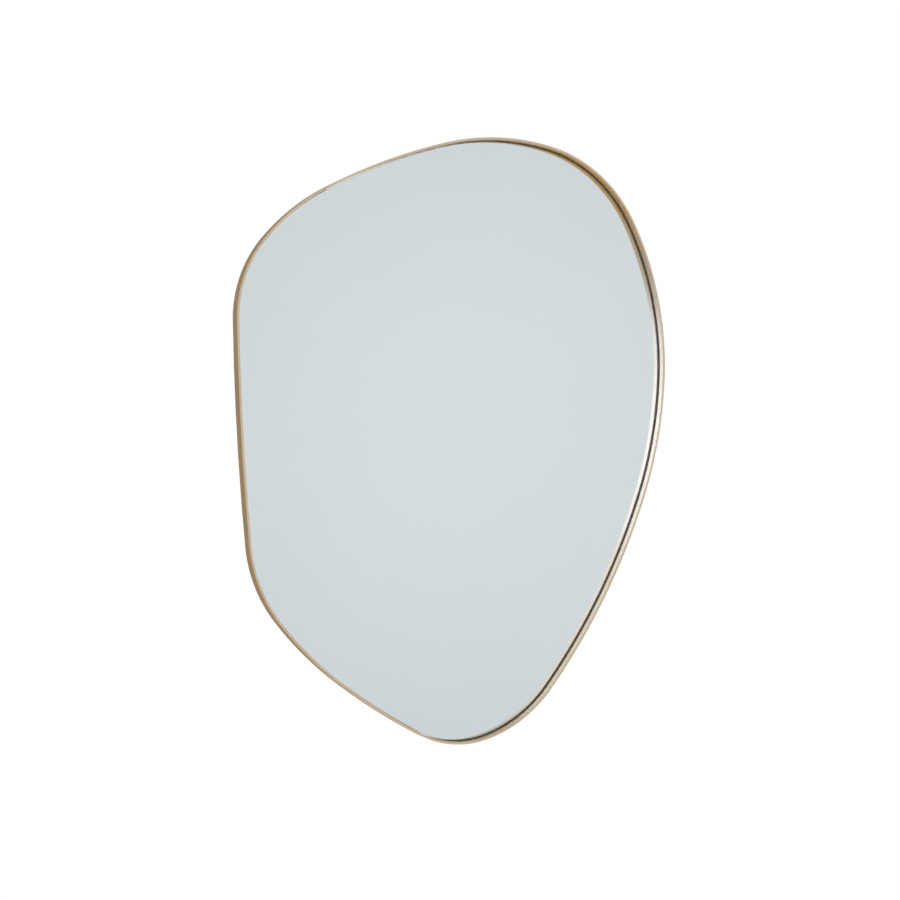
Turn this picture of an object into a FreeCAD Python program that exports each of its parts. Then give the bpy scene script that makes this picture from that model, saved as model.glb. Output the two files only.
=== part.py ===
import FreeCAD, Part
import math
import os
from FreeCAD import Vector

os.makedirs("parts", exist_ok=True)

# A wall mirror of irregular, pebble-like outline. A hoop of flat metal bar stands on edge round
# a recessed pane. The pane is taped to a board, the board is screwed to lugs welded in the hoop,
# and two D rings on straps hang it from two wall hooks.
# X runs to the right as seen from the front, Z is up, and Y runs from the room to the wall.
# The origin is on the wall, midway between the two hooks, where the hooks touch the rings.
# All lengths are in millimetres and all angles in degrees.

# Outline of the hoop: a chain of tangent arcs, each with its radius and the angle it turns.
# It runs anticlockwise as seen from the front, and starts where it faces down to the right.
outline_start = -39.5
lower_right_flank_turn = 20.0
right_side_radius = 745.0
right_side_turn = 17.5
right_shoulder_radius = 555.0
right_shoulder_turn = 30.5
upper_right_radius = 253.0
upper_right_turn = 50.0
crown_radius = 449.0
crown_turn = 28.0
top_slope_radius = 1110.0
top_slope_turn = 12.0
left_shoulder_radius = 399.0
left_shoulder_turn = 22.0
upper_left_radius = 216.0
upper_left_turn = 40.5
left_side_radius = 4850.0
left_side_turn = 4.5
lower_left_radius = 249.0
lower_left_turn = 32.0
lower_left_ease_radius = 614.0
lower_left_ease_turn = 14.5
lower_left_flank_turn = 9.0
foot_radius = 180.0
foot_turn = 44.0
foot_ease_radius = 249.0

# Hoop of flat bar on edge.
bar_width = 25.0
bar_thickness = 4.0
bar_edge_chamfer = 0.5

# Pane, tape and board, from the front to the back.
glass_thickness = 4.0
glass_gap = 1.0
glass_arris = 0.5
tape_thickness = 1.0
tape_width = 25.0
tape_pitch = 150.0
tape_count = 5
tape_margin = 60.0
board_thickness = 4.0
board_gap = 1.0

# Lugs welded inside the hoop, flush with its rear edge, and the direction that each one faces.
lug_thickness = 2.0
lug_width = 26.0
lug_reach = 24.0
lug_corner_clip = 4.5
lug_hole_inset = 13.0
lug_directions = {
    "lug_upper_right": 36.0,
    "lug_top": 90.0,
    "lug_upper_left": 121.0,
    "lug_left": 184.3,
    "lug_lower_left": 227.0,
    "lug_bottom": 273.0,
    "lug_lower_right": 323.0,
    "lug_right": 339.0,
}

# Pan-head screws that hold the board to the lugs. A head's sloping crown is a share of its height.
lug_screw_diameter = 3.5
lug_screw_length = 5.0
lug_screw_head_diameter = 7.0
lug_screw_head_height = 2.2
lug_hole_clearance = 0.25
head_crown_share = 0.45

# Hanger plates welded inside the hoop, one for each strap.
hanger_spacing = 760.0
plate_height = 84.0
plate_top_margin = 16.0
plate_inner_margin = 20.0
plate_corner_radius = 8.0

# Straps: a strip folded round the ring's straight bar, with both leaves screwed to the plate.
strip_thickness = 1.0
strip_fold_gap = 0.1
strap_width = 16.0
strap_length = 50.0
strap_end_radius = 7.0
strap_neck_radius = 1.2
strap_hole_first = 27.0
strap_hole_pitch = 14.0
strap_hole_clearance = 0.15

# D rings of wire, each hanging in its strap. The wire's round section is drawn with flats.
ring_wire_diameter = 3.0
ring_wire_flats = 12
ring_inner_width = 22.0
ring_reach = 19.0
ring_corner_radius = 3.0
ring_running_clearance = 0.08
ring_rest_gap = 0.2

# Machine screws through the straps into the tapped plates, with their tips in pockets in the board.
hanger_screw_diameter = 4.0
hanger_screw_length = 6.0
hanger_screw_head_diameter = 7.6
hanger_screw_head_height = 2.4
tapped_clearance = 0.03
pocket_diameter = 7.0
pocket_depth = 3.0

# Rubber bumpers on the board's back keep the hangers off the wall.
wall_gap = 6.5
bumper_diameter = 20.0
bumper_rim_chamfer = 1.5
bumper_inset = 50.0
bumper_directions = {
    "bumper_upper_right": 60.0,
    "bumper_upper_left": 128.0,
    "bumper_lower_left": 222.0,
    "bumper_lower_right": 316.0,
}

# The hooks are this far above the middle of the outline's height.
hook_height = 235.0

# Planes across the depth, from the wall forwards.
rear_y = -wall_gap
front_y = rear_y - bar_width
lug_front_y = rear_y - lug_thickness
board_front_y = lug_front_y - board_thickness
glass_back_y = board_front_y - tape_thickness
glass_front_y = glass_back_y - glass_thickness

# Ring and strap sizes that follow.
wire_radius = ring_wire_diameter / 2
bore_radius = wire_radius + ring_running_clearance
knuckle_radius = bore_radius + strip_thickness
leaves_height = 2 * strip_thickness + strip_fold_gap
hinge_y = rear_y + knuckle_radius
hinge_z = -(ring_reach - wire_radius)
ring_rise = leaves_height + ring_rest_gap + wire_radius - knuckle_radius
ring_rest_tilt = math.degrees(math.asin(ring_rise / ring_reach))


def facing(degrees):
    return math.cos(math.radians(degrees)), math.sin(math.radians(degrees))


def chord_per_radius(start, turn):
    from_x, from_z = facing(start)
    to_x, to_z = facing(start + turn)
    return to_x - from_x, to_z - from_z


def closed_radii(spans):
    # The two flanks have no radius of their own: theirs are what closes the chain.
    free = [chord_per_radius(start, turn) for radius, start, turn in spans if radius is None]
    rest_x = 0.0
    rest_z = 0.0
    for radius, start, turn in spans:
        if radius is not None:
            step_x, step_z = chord_per_radius(start, turn)
            rest_x -= radius * step_x
            rest_z -= radius * step_z
    (a_x, a_z), (b_x, b_z) = free
    area = a_x * b_z - a_z * b_x
    flanks = [(rest_x * b_z - rest_z * b_x) / area, (a_x * rest_z - a_z * rest_x) / area]
    return [flanks.pop(0) if radius is None else radius for radius, start, turn in spans]


def drafted_outline():
    # Each arc is (centre x, centre z, radius, direction it first faces, turn).
    drafted = [
        (None, lower_right_flank_turn),
        (right_side_radius, right_side_turn),
        (right_shoulder_radius, right_shoulder_turn),
        (upper_right_radius, upper_right_turn),
        (crown_radius, crown_turn),
        (top_slope_radius, top_slope_turn),
        (left_shoulder_radius, left_shoulder_turn),
        (upper_left_radius, upper_left_turn),
        (left_side_radius, left_side_turn),
        (lower_left_radius, lower_left_turn),
        (lower_left_ease_radius, lower_left_ease_turn),
        (None, lower_left_flank_turn),
        (foot_radius, foot_turn),
    ]
    drafted.append((foot_ease_radius, 360.0 - sum(turn for radius, turn in drafted)))
    spans = []
    start = outline_start
    for radius, turn in drafted:
        spans.append((radius, start, turn))
        start += turn
    arcs = []
    end_x = 0.0
    end_z = 0.0
    for radius, (unused, start, turn) in zip(closed_radii(spans), spans):
        out_x, out_z = facing(start)
        centre_x = end_x - radius * out_x
        centre_z = end_z - radius * out_z
        arcs.append((centre_x, centre_z, radius, start, turn))
        out_x, out_z = facing(start + turn)
        end_x = centre_x + radius * out_x
        end_z = centre_z + radius * out_z
    return arcs


def edge_point(arcs, direction, inset):
    # The point of the outline that faces this way, moved inwards by the inset.
    for centre_x, centre_z, radius, start, turn in arcs:
        if (direction - start) % 360.0 <= turn:
            out_x, out_z = facing(direction)
            return centre_x + (radius - inset) * out_x, centre_z + (radius - inset) * out_z


def centred(arcs):
    # The outline's middle goes below the hooks, so that the hooks are at the origin.
    middle_x = (edge_point(arcs, 0.0, 0.0)[0] + edge_point(arcs, 180.0, 0.0)[0]) / 2
    middle_z = (edge_point(arcs, 90.0, 0.0)[1] + edge_point(arcs, 270.0, 0.0)[1]) / 2
    return [(x - middle_x, z - middle_z - hook_height, r, start, turn) for x, z, r, start, turn in arcs]


outline = centred(drafted_outline())


def outline_slab(inset, near_y, far_y):
    # A plate with the outline's shape, its edge moved inwards, between two planes.
    edges = []
    for centre_x, centre_z, radius, start, turn in outline:
        points = []
        for direction in (start, start + turn / 2, start + turn):
            out_x, out_z = facing(direction)
            x = centre_x + (radius - inset) * out_x
            z = centre_z + (radius - inset) * out_z
            points.append(Vector(x, near_y, z))
        edges.append(Part.Arc(*points).toShape())
    face = Part.Face(Part.Wire(edges))
    return face.extrude(Vector(0, far_y - near_y, 0))


def rim_edges(shape, *planes):
    # The edges that run along the outline in the planes named.
    def lies_in(edge, y):
        return all(abs(vertex.Point.y - y) < 1e-6 for vertex in edge.Vertexes)
    return [edge for edge in shape.Edges if any(lies_in(edge, y) for y in planes)]


def peg(radius, x, z, near_y, far_y):
    # A round bar along Y.
    return Part.makeCylinder(radius, far_y - near_y, Vector(x, near_y, z), Vector(0, 1, 0))


def block(low_x, high_x, near_y, far_y, low_z, high_z):
    return Part.makeBox(high_x - low_x, far_y - near_y, high_z - low_z, Vector(low_x, near_y, low_z))


def upright_edges(shape, test):
    # The edges along Y whose place in X and Z passes the test.
    chosen = []
    for edge in shape.Edges:
        ends = [vertex.Point for vertex in edge.Vertexes]
        if len(ends) == 2 and abs(ends[0].x - ends[1].x) + abs(ends[0].z - ends[1].z) < 1e-6:
            if test(ends[0].x, ends[0].z):
                chosen.append(edge)
    return chosen


def round_rim(shape, y):
    # The whole circles that lie in the plane at this Y.
    return [edge for edge in shape.Edges if len(edge.Vertexes) == 1 and abs(edge.CenterOfMass.y - y) < 1e-6]


def pan_head_screw(x, z, seat_y, diameter, length, head_diameter, head_height):
    # The head's underside is on the seat, and the shank runs forwards from it.
    head_top_y = seat_y + head_height
    head = peg(head_diameter / 2, x, z, seat_y, head_top_y)
    head = head.makeChamfer(head_crown_share * head_height, round_rim(head, head_top_y))
    return head.fuse(peg(diameter / 2, x, z, seat_y - length, seat_y)).removeSplitter()


def make_frame_band():
    band = outline_slab(0.0, front_y, rear_y).cut(outline_slab(bar_thickness, front_y, rear_y))
    return band.makeChamfer(bar_edge_chamfer, rim_edges(band, front_y, rear_y))


def make_mirror_glass():
    pane = outline_slab(bar_thickness + glass_gap, glass_front_y, glass_back_y)
    return pane.makeChamfer(glass_arris, rim_edges(pane, glass_front_y, glass_back_y))


def lug_hole_places():
    inset = bar_thickness + lug_hole_inset
    return {name: edge_point(outline, way, inset) for name, way in lug_directions.items()}


def hanger_places():
    return {"left": -hanger_spacing / 2, "right": hanger_spacing / 2}


def hanger_screw_heights():
    first = hinge_z - strap_hole_first
    return [first, first - strap_hole_pitch]


def make_backing_board():
    board = outline_slab(bar_thickness + board_gap, board_front_y, lug_front_y)
    pilot = lug_screw_diameter / 2 + tapped_clearance
    pilot_end = rear_y - lug_screw_length
    for x, z in lug_hole_places().values():
        board = board.cut(peg(pilot, x, z, pilot_end, lug_front_y))
    for x in hanger_places().values():
        for z in hanger_screw_heights():
            board = board.cut(peg(pocket_diameter / 2, x, z, lug_front_y - pocket_depth, lug_front_y))
    return board


def within_hoop(shape):
    # What is welded to the hoop ends on the hoop's inner wall.
    return shape.common(outline_slab(bar_thickness, front_y, rear_y))


def make_lug(direction):
    # Drawn facing +X with its free end at low X, then turned to face its way.
    blank = block(-lug_reach, lug_reach, lug_front_y, rear_y, -lug_width / 2, lug_width / 2)
    blank = blank.makeChamfer(lug_corner_clip, upright_edges(blank, lambda x, z: x < 0))
    hole = peg(lug_screw_diameter / 2 + lug_hole_clearance, -lug_hole_inset, 0, lug_front_y, rear_y)
    blank = blank.cut(hole)
    blank.rotate(Vector(0, 0, 0), Vector(0, -1, 0), direction)
    x, z = edge_point(outline, direction, bar_thickness)
    blank.translate(Vector(x, 0, z))
    return within_hoop(blank)


def make_lug_screws():
    head = (lug_screw_head_diameter, lug_screw_head_height)
    screws = []
    for x, z in lug_hole_places().values():
        screws.append(pan_head_screw(x, z, rear_y, lug_screw_diameter, lug_screw_length, *head))
    return screws


def make_hanger_plate(x):
    # One side reaches past the hoop's wall and is cut to it.
    side = math.copysign(1.0, x)
    free_x = x - side * plate_inner_margin
    buried_x = x + side * (plate_inner_margin + bar_width + hook_height)
    low_x = min(free_x, buried_x)
    high_x = max(free_x, buried_x)
    top_z = hinge_z + plate_top_margin
    plate = block(low_x, high_x, lug_front_y, rear_y, top_z - plate_height, top_z)
    free_corners = upright_edges(plate, lambda px, pz: abs(px - free_x) < 1e-6)
    plate = within_hoop(plate.makeFillet(plate_corner_radius, free_corners))
    for z in hanger_screw_heights():
        plate = plate.cut(peg(hanger_screw_diameter / 2 + tapped_clearance, x, z, lug_front_y, rear_y))
    return plate


def make_strap(x):
    # Seen along X: the lower leaf lies on the plate, the strip rolls round the ring's bar
    # and comes back as the upper leaf.
    low_x = x - strap_width / 2
    high_x = x + strap_width / 2
    end_z = hinge_z - strap_length
    seat_top_y = rear_y + leaves_height
    leaves = block(low_x, high_x, rear_y, seat_top_y, end_z, hinge_z)
    end_corners = upright_edges(leaves, lambda px, pz: abs(pz - end_z) < 1e-6)
    leaves = leaves.makeFillet(strap_end_radius, end_corners)
    start = Vector(low_x, hinge_y, hinge_z)
    knuckle = Part.makeCylinder(knuckle_radius, strap_width, start, Vector(1, 0, 0))
    strap = leaves.fuse(knuckle).removeSplitter()
    neck = [edge for edge in strap.Edges if is_neck(edge, seat_top_y)]
    strap = strap.makeFillet(strap_neck_radius, neck)
    strap = strap.cut(Part.makeCylinder(bore_radius, strap_width, start, Vector(1, 0, 0)))
    fold_y = rear_y + strip_thickness
    strap = strap.cut(block(low_x, high_x, fold_y, fold_y + strip_fold_gap, end_z, hinge_z))
    for z in hanger_screw_heights():
        strap = strap.cut(peg(hanger_screw_diameter / 2 + strap_hole_clearance, x, z, rear_y, seat_top_y))
    return strap


def is_neck(edge, seat_top_y):
    # The inside corner where the upper leaf meets the rolled part.
    ends = [vertex.Point for vertex in edge.Vertexes]
    if len(ends) != 2 or abs(ends[0].x - ends[1].x) < strap_width - 1e-6:
        return False
    low_z = hinge_z - knuckle_radius - 1e-6
    return all(abs(p.y - seat_top_y) < 1e-6 and low_z < p.z < hinge_z for p in ends)


def wire_section(centre, across):
    # The wire's section at a point of the XZ plane. Its corners are on the round wire's skin.
    corners = []
    for number in range(ring_wire_flats):
        share_x, share_y = facing(360.0 * number / ring_wire_flats)
        corners.append(centre + across * (wire_radius * share_x) + Vector(0, wire_radius * share_y, 0))
    return Part.Face(Part.makePolygon(corners + corners[:1]))


def wire_run(start, end):
    across = (end - start).cross(Vector(0, 1, 0)).normalize()
    return wire_section(start, across).extrude(end - start)


def wire_bend(centre, start, turn):
    # A bend in the XZ plane, from the start point round the centre.
    across = (start - centre).normalize()
    return wire_section(start, across).revolve(centre, Vector(0, 1, 0), turn)


def make_ring(x):
    # Drawn flat, with its straight bar on the hinge axis and its bow below, then lifted off the strap.
    half = ring_inner_width / 2 + wire_radius
    corner = ring_corner_radius
    bow_z = -(ring_reach - half)
    pieces = [wire_run(Vector(-half + corner, 0, 0), Vector(half - corner, 0, 0))]
    for side in (-1, 1):
        pieces.append(wire_run(Vector(side * half, 0, -corner), Vector(side * half, 0, bow_z)))
        corner_centre = Vector(side * (half - corner), 0, -corner)
        pieces.append(wire_bend(corner_centre, corner_centre + Vector(0, 0, corner), side * 90.0))
    pieces.append(wire_bend(Vector(0, 0, bow_z), Vector(half, 0, bow_z), 180.0))
    ring = pieces[0].multiFuse(pieces[1:]).removeSplitter()
    ring.rotate(Vector(0, 0, 0), Vector(1, 0, 0), ring_rest_tilt)
    ring.translate(Vector(x, hinge_y, hinge_z))
    return ring


def make_hanger_screws():
    seat_y = rear_y + leaves_height
    head = (hanger_screw_head_diameter, hanger_screw_head_height)
    screws = []
    for x in hanger_places().values():
        for z in hanger_screw_heights():
            screws.append(pan_head_screw(x, z, seat_y, hanger_screw_diameter, hanger_screw_length, *head))
    return screws


def heights_at(x, inset):
    # Where the upright line at this X crosses the outline moved inwards.
    heights = []
    for centre_x, centre_z, radius, start, turn in outline:
        share = (x - centre_x) / (radius - inset)
        if abs(share) <= 1.0:
            for direction in (math.degrees(math.acos(share)), -math.degrees(math.acos(share))):
                if (direction - start) % 360.0 <= turn:
                    heights.append(centre_z + (radius - inset) * facing(direction)[1])
    return min(heights), max(heights)


def make_tape(x):
    # A strip cut square where its edges would come within the margin of the outline.
    left = heights_at(x - tape_width / 2, tape_margin)
    right = heights_at(x + tape_width / 2, tape_margin)
    low_z = max(left[0], right[0])
    high_z = min(left[1], right[1])
    return block(x - tape_width / 2, x + tape_width / 2, glass_back_y, board_front_y, low_z, high_z)


def bumper_places():
    return {name: edge_point(outline, way, bumper_inset) for name, way in bumper_directions.items()}


def make_bumper(x, z):
    # A rubber foot stuck to the board, its flat tip on the wall.
    foot = peg(bumper_diameter / 2, x, z, lug_front_y, 0.0)
    return foot.makeChamfer(bumper_rim_chamfer, round_rim(foot, 0.0))


def save(name, solids):
    shape = Part.makeCompound(solids) if len(solids) > 1 else solids[0]
    shape.exportStep("parts/" + name + ".step")
    for solid in shape.Solids:
        if not solid.isValid() or solid.Volume <= 0:
            print("not valid:", name)
    print("%-22s %d solid(s) %12.1f mm3" % (name, len(shape.Solids), shape.Volume))


save("frame_band", [make_frame_band()])
save("mirror_glass", [make_mirror_glass()])
save("backing_board", [make_backing_board()])
for lug_name, lug_direction in lug_directions.items():
    save(lug_name, [make_lug(lug_direction)])
save("lug_screws", make_lug_screws())
for side_name, hanger_x in hanger_places().items():
    save("hanger_plate_" + side_name, [make_hanger_plate(hanger_x)])
    save("hanger_strap_" + side_name, [make_strap(hanger_x)])
    save("hanger_ring_" + side_name, [make_ring(hanger_x)])
save("hanger_screws", make_hanger_screws())
for tape_number in range(tape_count):
    tape_x = (tape_number - (tape_count - 1) / 2) * tape_pitch
    save("tape_strip_" + str(tape_number + 1), [make_tape(tape_x)])
for bumper_name, (bumper_x, bumper_z) in bumper_places().items():
    save(bumper_name, [make_bumper(bumper_x, bumper_z)])

print("outline width %.2f, height %.2f" % (
    edge_point(outline, 0.0, 0.0)[0] - edge_point(outline, 180.0, 0.0)[0],
    edge_point(outline, 90.0, 0.0)[1] - edge_point(outline, 270.0, 0.0)[1]))
print("depth from the wall %.2f" % -front_y)
print("glass front %.2f behind the hoop's front" % (glass_front_y - front_y))
print("flank radii %.1f and %.1f" % (outline[0][2], outline[11][2]))
print("ring hinge y %.3f, z %.3f, tilt at rest %.3f" % (hinge_y, hinge_z, ring_rest_tilt))
for bumper_name, (bumper_x, bumper_z) in bumper_places().items():
    print("%s tip at x %.3f, z %.3f" % (bumper_name, bumper_x, bumper_z))
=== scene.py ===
import math
import bmesh
import bpy
from mathutils import Matrix, Vector


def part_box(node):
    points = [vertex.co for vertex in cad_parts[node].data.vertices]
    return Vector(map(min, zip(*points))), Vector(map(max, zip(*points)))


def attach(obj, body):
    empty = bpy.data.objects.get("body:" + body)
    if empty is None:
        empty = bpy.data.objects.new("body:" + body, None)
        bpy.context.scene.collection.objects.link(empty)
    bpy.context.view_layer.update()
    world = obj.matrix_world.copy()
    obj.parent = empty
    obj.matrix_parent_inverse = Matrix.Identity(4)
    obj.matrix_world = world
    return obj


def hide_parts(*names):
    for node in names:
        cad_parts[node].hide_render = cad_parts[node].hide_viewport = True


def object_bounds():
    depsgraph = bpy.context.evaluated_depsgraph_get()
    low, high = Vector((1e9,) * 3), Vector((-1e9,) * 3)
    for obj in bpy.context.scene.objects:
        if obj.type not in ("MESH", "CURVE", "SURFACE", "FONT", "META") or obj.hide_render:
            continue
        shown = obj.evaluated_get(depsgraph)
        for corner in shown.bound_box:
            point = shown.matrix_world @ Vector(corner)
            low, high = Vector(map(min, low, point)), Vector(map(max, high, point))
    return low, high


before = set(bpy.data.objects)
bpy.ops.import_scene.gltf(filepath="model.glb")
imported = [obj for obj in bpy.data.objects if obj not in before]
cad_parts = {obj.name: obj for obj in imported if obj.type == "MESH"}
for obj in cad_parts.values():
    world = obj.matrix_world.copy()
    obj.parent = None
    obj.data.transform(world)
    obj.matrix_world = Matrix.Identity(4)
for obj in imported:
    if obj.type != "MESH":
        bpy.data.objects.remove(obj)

# An irregular wall mirror. X runs to the right as seen from the front, Z up, Y into the wall.
scene = bpy.context.scene
mm = 0.001
cadLow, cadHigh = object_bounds()
hoopLow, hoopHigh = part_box("frame_band")
paneLow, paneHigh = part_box("mirror_glass")
boardLow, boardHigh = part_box("backing_board")
frontY = hoopLow.y
rearY = hoopHigh.y

# The outline as it was drafted: radius in metres and turn in degrees, anticlockwise from the front.
outline = {
    "firstFacing": -39.5,
    "middleBelowHooks": 0.235,
    "stepTurn": 0.9,
    "arcs": [
        (None, 20.0),    # lower right flank, whose radius is what closes the outline
        (0.745, 17.5),   # right side
        (0.555, 30.5),   # right shoulder
        (0.253, 50.0),   # upper right
        (0.449, 28.0),   # crown
        (1.110, 12.0),   # top slope
        (0.399, 22.0),   # left shoulder
        (0.216, 40.5),   # upper left
        (4.850, 4.5),    # left side
        (0.249, 32.0),   # lower left
        (0.614, 14.5),   # lower left ease
        (None, 9.0),     # lower left flank, solved like the other one
        (0.180, 44.0),   # foot
        (0.249, 35.5),   # foot ease
    ],
}


def facing(degrees):
    return Vector((math.cos(math.radians(degrees)), 0.0, math.sin(math.radians(degrees))))


def draftOutline():
    way = outline["firstFacing"]
    spans = []
    for radius, turn in outline["arcs"]:
        spans.append((radius, way, turn))
        way += turn
    gap = Vector()
    flanks = []
    for radius, way, turn in spans:
        chord = facing(way + turn) - facing(way)
        if radius is None:
            flanks.append(chord)
        else:
            gap -= radius * chord
    one, two = flanks
    area = one.x * two.z - one.z * two.x
    solved = [(gap.x * two.z - gap.z * two.x) / area, (one.x * gap.z - one.z * gap.x) / area]
    drafted = []
    tip = Vector()
    for radius, way, turn in spans:
        if radius is None:
            radius = solved.pop(0)
        centre = tip - radius * facing(way)
        drafted.append({"centre": centre, "radius": radius, "way": way, "turn": turn})
        tip = centre + radius * facing(way + turn)
    middle = Vector((
        (edgePoint(drafted, 0.0).x + edgePoint(drafted, 180.0).x) / 2, 0.0,
        (edgePoint(drafted, 90.0).z + edgePoint(drafted, 270.0).z) / 2 + outline["middleBelowHooks"]))
    for arc in drafted:
        arc["centre"] = arc["centre"] - middle
    return drafted


def edgePoint(drafted, way, inset=0.0):
    # where the outline faces this way, moved inwards by the inset
    for arc in drafted:
        if (way - arc["way"]) % 360.0 <= arc["turn"]:
            return arc["centre"] + (arc["radius"] - inset) * facing(way)


arcs = draftOutline()

# vertices nearer than this are one, by the way the piece was made
joined = {"rolled": 0.02 * mm, "turned": 0.005 * mm, "cut": 0.002 * mm, "wire": 0.01 * mm}


# Pieces: every mesh is finished here, given its body, its slot and the nodes it stands for.
def newPiece(name, bm, body, replaced, materials, sharpAngle=40.0):
    for face in bm.faces:
        face.smooth = True
    for edge in bm.edges:
        edge.smooth = edge.calc_face_angle(0.0) < math.radians(sharpAngle)
    mesh = bpy.data.meshes.new(name)
    bm.to_mesh(mesh)
    bm.free()
    for material in materials:
        mesh.materials.append(material)
    piece = bpy.data.objects.new(name, mesh)
    scene.collection.objects.link(piece)
    flats = piece.modifiers.new("evenFlats", "WEIGHTED_NORMAL")
    flats.keep_sharp = True
    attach(piece, body)
    if replaced:
        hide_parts(*replaced)


def startSection(bm, corners):
    # (inset, y) corners across the rim, where the outline starts
    bm.verts.layers.float.new("along")
    bm.verts.layers.float.new("across")
    first = arcs[0]
    verts = []
    for inset, y in corners:
        spot = first["centre"] + (first["radius"] - inset) * facing(first["way"])
        verts.append(bm.verts.new((spot.x, y, spot.z)))
    return verts


def closeSection(bm, verts, rounding, steps):
    # joins the corners to a loop with rounded corners, and notes how far round it each vertex is
    across = bm.verts.layers.float["across"]
    bm.faces.new(verts)
    bmesh.ops.bevel(
        bm, geom=verts, affect="VERTICES", offset=rounding, segments=steps, profile=0.5, material=-1)
    face = list(bm.faces)[0]
    around = 0.0
    for loop in face.loops:
        loop.vert[across] = around
        around += loop.edge.calc_length()
    bmesh.ops.delete(bm, geom=[face], context="FACES_ONLY")
    return list(bm.verts) + list(bm.edges), around


def rollRound(bm, section):
    # takes the section round every arc in turn, as bar goes through the rolls, to close on its start
    along = bm.verts.layers.float["along"]
    travelled = 0.0
    for arc in arcs:
        steps = math.ceil(arc["turn"] / outline["stepTurn"])
        turn = math.radians(arc["turn"]) / steps
        for step in range(steps):
            rolled = bmesh.ops.spin(
                bm, geom=section, cent=arc["centre"], axis=(0.0, -1.0, 0.0), angle=turn, steps=1)
            section = rolled["geom_last"]
            travelled += arc["radius"] * turn
            for item in section:
                if isinstance(item, bmesh.types.BMVert):
                    item[along] = travelled
    bmesh.ops.remove_doubles(bm, verts=bm.verts, dist=joined["rolled"])
    return travelled


def layBarMap(bm, length, around):
    # a UV map in metres: U runs along the bar and V round its section
    along = bm.verts.layers.float["along"]
    across = bm.verts.layers.float["across"]
    barMap = bm.loops.layers.uv.new("alongBar")
    for face in bm.faces:
        far = max(loop.vert[along] for loop in face.loops)
        wide = max(loop.vert[across] for loop in face.loops)
        for loop in face.loops:
            u = loop.vert[along]
            v = loop.vert[across]
            if far - u > length / 2:
                u += length
            if wide - v > around / 2:
                v += around
            loop[barMap].uv = (u, v)


def turnProfile(bm, profile, steps):
    # turns (radius, y) points about the Y axis
    verts = [bm.verts.new((radius, y, 0.0)) for radius, y in profile]
    edges = [bm.edges.new(pair) for pair in zip(verts, verts[1:])]
    bmesh.ops.spin(
        bm, geom=verts + edges, cent=(0.0, 0.0, 0.0), axis=(0.0, 1.0, 0.0), angle=math.tau,
        steps=steps, use_merge=True)
    bmesh.ops.remove_doubles(bm, verts=bm.verts, dist=joined["turned"])


def arcPoints(centreRadius, centreY, radius, fromAngle, toAngle, steps):
    # (radius, y) points of an arc in a turned profile, 0 degrees outwards and 90 towards the wall
    points = []
    for step in range(steps + 1):
        angle = math.radians(fromAngle + (toAngle - fromAngle) * step / steps)
        points.append((centreRadius + radius * math.cos(angle), centreY + radius * math.sin(angle)))
    return points


def addCopies(bm, single, places):
    # each place is a matrix; the single piece is spent
    mesh = bpy.data.meshes.new("single")
    single.to_mesh(mesh)
    single.free()
    for place in places:
        known = len(bm.verts)
        bm.from_mesh(mesh)
        bmesh.ops.transform(bm, matrix=place, verts=list(bm.verts)[known:])
    bpy.data.meshes.remove(mesh)


def softenNode(name, node, body, material, softened, flatWithin=1.0, cornerOver=50.0):
    # a cut plate of the frame, with its sawn edges taken off
    bm = bmesh.new()
    bm.from_mesh(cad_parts[node].data)
    bmesh.ops.remove_doubles(bm, verts=bm.verts, dist=joined["cut"])
    bmesh.ops.dissolve_limit(
        bm, angle_limit=math.radians(flatWithin), verts=bm.verts, edges=bm.edges,
        use_dissolve_boundaries=False)
    sharp = [edge for edge in bm.edges if edge.calc_face_angle(0.0) > math.radians(cornerOver)]
    bmesh.ops.bevel(
        bm, geom=sharp, affect="EDGES", offset=softened, segments=3, profile=0.5, material=-1,
        clamp_overlap=True)
    bmesh.ops.recalc_face_normals(bm, faces=bm.faces)
    newPiece(name, bm, body, [node], [material])


# Node helpers: an input is a plain value, or another node's output to link.
def addNode(tree, kind, settings=None, inputs=None):
    made = tree.nodes.new("ShaderNode" + kind)
    for name, value in (settings or {}).items():
        setattr(made, name, value)
    for name, value in (inputs or {}).items():
        setSocket(tree, made.inputs[name], value)
    return made


def setSocket(tree, socket, value):
    if isinstance(value, bpy.types.NodeSocket):
        tree.links.new(value, socket)
    elif socket.type == "RGBA" and len(value) == 3:
        socket.default_value = (*value, 1.0)
    else:
        socket.default_value = value


def mixColour(tree, factor, low, high, blend="MIX"):
    made = addNode(tree, "Mix", {"data_type": "RGBA", "blend_type": blend})
    shown = {socket.name: socket for socket in made.inputs if socket.enabled}
    for name, value in (("Factor", factor), ("A", low), ("B", high)):
        setSocket(tree, shown[name], value)
    return [socket for socket in made.outputs if socket.enabled][0]


def addRamp(tree, value, low, high, toLow=0.0, toHigh=1.0, shape="SMOOTHSTEP"):
    # a step from low to high, which may run either way
    made = addNode(tree, "MapRange", {"interpolation_type": shape}, {
        "Value": value, "From Min": low, "From Max": high, "To Min": toLow, "To Max": toHigh})
    return made.outputs["Result"]


def spread(tree, value, low, high):
    # turns a mask into a value between these two
    return addRamp(tree, value, 0.0, 1.0, low, high)


def addMath(tree, operation, *values):
    return addNode(tree, "Math", {"operation": operation}, dict(enumerate(values))).outputs[0]


def addLayer(tree, tone, mask, colour, share):
    # lays a colour over the tone where the mask shows, and never thicker than its share
    return mixColour(tree, addMath(tree, "MULTIPLY", mask, share), tone, colour)


def addNoise(tree, vector, scale, detail=3.0, roughness=0.55):
    made = addNode(tree, "TexNoise", {}, {
        "Vector": vector, "Scale": scale, "Detail": detail, "Roughness": roughness})
    return made.outputs["Fac"]


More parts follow.
